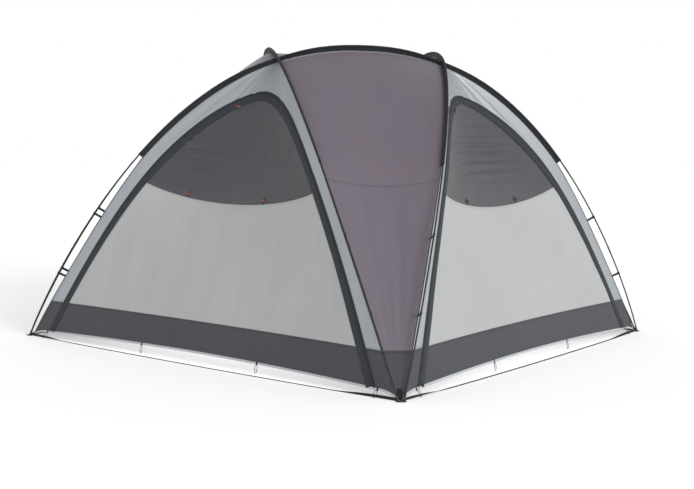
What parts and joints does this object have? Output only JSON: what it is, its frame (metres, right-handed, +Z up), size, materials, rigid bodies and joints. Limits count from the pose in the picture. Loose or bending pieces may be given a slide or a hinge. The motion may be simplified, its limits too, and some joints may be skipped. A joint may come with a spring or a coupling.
{
  "type": "screen house",
  "caption": "Square dome camping screen house: bowed poles crossing over each side, sewn canopy with corner wedges, a zipped mesh-window door in every side and a mud wall.",
  "frame": {"origin": "on the ground under the middle of the roof", "axes": "+Z up, +X towards the right side, -Y towards the front side; the sides are parallel to X and Y"},
  "size_m": [3.58, 3.58, 2.2678],
  "materials": {
    "wall_fabric": "coated polyester, soft sheen",
    "door_fabric": "coated polyester, matte",
    "mesh_fabric": "fine dark insect mesh",
    "corner_fabric": "coated polyester, matte",
    "mud_wall_fabric": "heavier coated polyester, matte",
    "sleeve_fabric": "polyester sleeve cloth, matte",
    "webbing": "woven polypropylene webbing",
    "zip_tape": "zip tape and coil under a flap",
    "elastic": "braided shock cord",
    "fibreglass": "pultruded fibreglass rod",
    "clip_plastic": "moulded acetal",
    "toggle": "moulded toggle and cord",
    "steel": "plated steel"
  },
  "bodies": {
    "shelter": {"front_wall": "wall_fabric", "front_ground_webbing": "webbing", "right_wall": "wall_fabric", "right_ground_webbing": "webbing", "back_wall": "wall_fabric", "back_ground_webbing": "webbing", "left_wall": "wall_fabric", "left_ground_webbing": "webbing", "front_right_pole": "fibreglass", "front_right_sleeve": "sleeve_fabric", "front_right_panel": "corner_fabric", "front_right_mud_wall": "mud_wall_fabric", "front_right_foot": "steel", "front_right_clip_left_lower": "clip_plastic", "front_right_clip_left_upper": "clip_plastic", "front_right_clip_right_lower": "clip_plastic", "front_right_clip_right_upper": "clip_plastic", "back_right_pole": "fibreglass", "back_right_sleeve": "sleeve_fabric", "back_right_panel": "corner_fabric", "back_right_mud_wall": "mud_wall_fabric", "back_right_foot": "steel", "back_right_clip_left_lower": "clip_plastic", "back_right_clip_left_upper": "clip_plastic", "back_right_clip_right_lower": "clip_plastic", "back_right_clip_right_upper": "clip_plastic", "back_left_pole": "fibreglass", "back_left_sleeve": "sleeve_fabric", "back_left_panel": "corner_fabric", "back_left_mud_wall": "mud_wall_fabric", "back_left_foot": "steel", "back_left_clip_left_lower": "clip_plastic", "back_left_clip_left_upper": "clip_plastic", "back_left_clip_right_lower": "clip_plastic", "back_left_clip_right_upper": "clip_plastic", "front_left_pole": "fibreglass", "front_left_sleeve": "sleeve_fabric", "front_left_panel": "corner_fabric", "front_left_mud_wall": "mud_wall_fabric", "front_left_foot": "steel", "front_left_clip_left_lower": "clip_plastic", "front_left_clip_left_upper": "clip_plastic", "front_left_clip_right_lower": "clip_plastic", "front_left_clip_right_upper": "clip_plastic", "roof": "corner_fabric"},
    "front_door_leaf": {"front_door": "door_fabric", "front_door_mesh": "mesh_fabric"},
    "front_slider": {"front_zip_slider": "steel"},
    "right_door_leaf": {"right_door": "door_fabric", "right_door_mesh": "mesh_fabric"},
    "right_slider": {"right_zip_slider": "steel"},
    "back_door_leaf": {"back_door": "door_fabric", "back_door_mesh": "mesh_fabric"},
    "back_slider": {"back_zip_slider": "steel"},
    "left_door_leaf": {"left_door": "door_fabric", "left_door_mesh": "mesh_fabric"},
    "left_slider": {"left_zip_slider": "steel"}
  },
  "joints": [
    {"name": "front_door_swing", "type": "hinge", "parent": "shelter", "child": "front_door_leaf", "pos_m": [-1.18805, -1.59289, 0.7003], "axis": [-0.4945, -0.2058, -0.8445], "range_deg": [0, 110]},
    {"name": "front_zip_slide", "type": "slide", "parent": "front_door_leaf", "child": "front_slider", "axis": [-0.4393, 0.1693, 0.8822], "range_m": [0, 0.35]},
    {"name": "right_door_swing", "type": "hinge", "parent": "shelter", "child": "right_door_leaf", "pos_m": [1.59289, -1.18805, 0.7003], "axis": [0.2058, -0.4945, -0.8445], "range_deg": [0, 110]},
    {"name": "right_zip_slide", "type": "slide", "parent": "right_door_leaf", "child": "right_slider", "axis": [-0.1693, -0.4393, 0.8822], "range_m": [0, 0.35]},
    {"name": "back_door_swing", "type": "hinge", "parent": "shelter", "child": "back_door_leaf", "pos_m": [1.18805, 1.59289, 0.7003], "axis": [0.4945, 0.2058, -0.8445], "range_deg": [0, 110]},
    {"name": "back_zip_slide", "type": "slide", "parent": "back_door_leaf", "child": "back_slider", "axis": [0.4393, -0.1693, 0.8822], "range_m": [0, 0.35]},
    {"name": "left_door_swing", "type": "hinge", "parent": "shelter", "child": "left_door_leaf", "pos_m": [-1.59289, 1.18805, 0.7003], "axis": [-0.2058, 0.4945, -0.8445], "range_deg": [0, 110]},
    {"name": "left_zip_slide", "type": "slide", "parent": "left_door_leaf", "child": "left_slider", "axis": [0.1693, 0.4393, 0.8822], "range_m": [0, 0.35]}
  ]
}
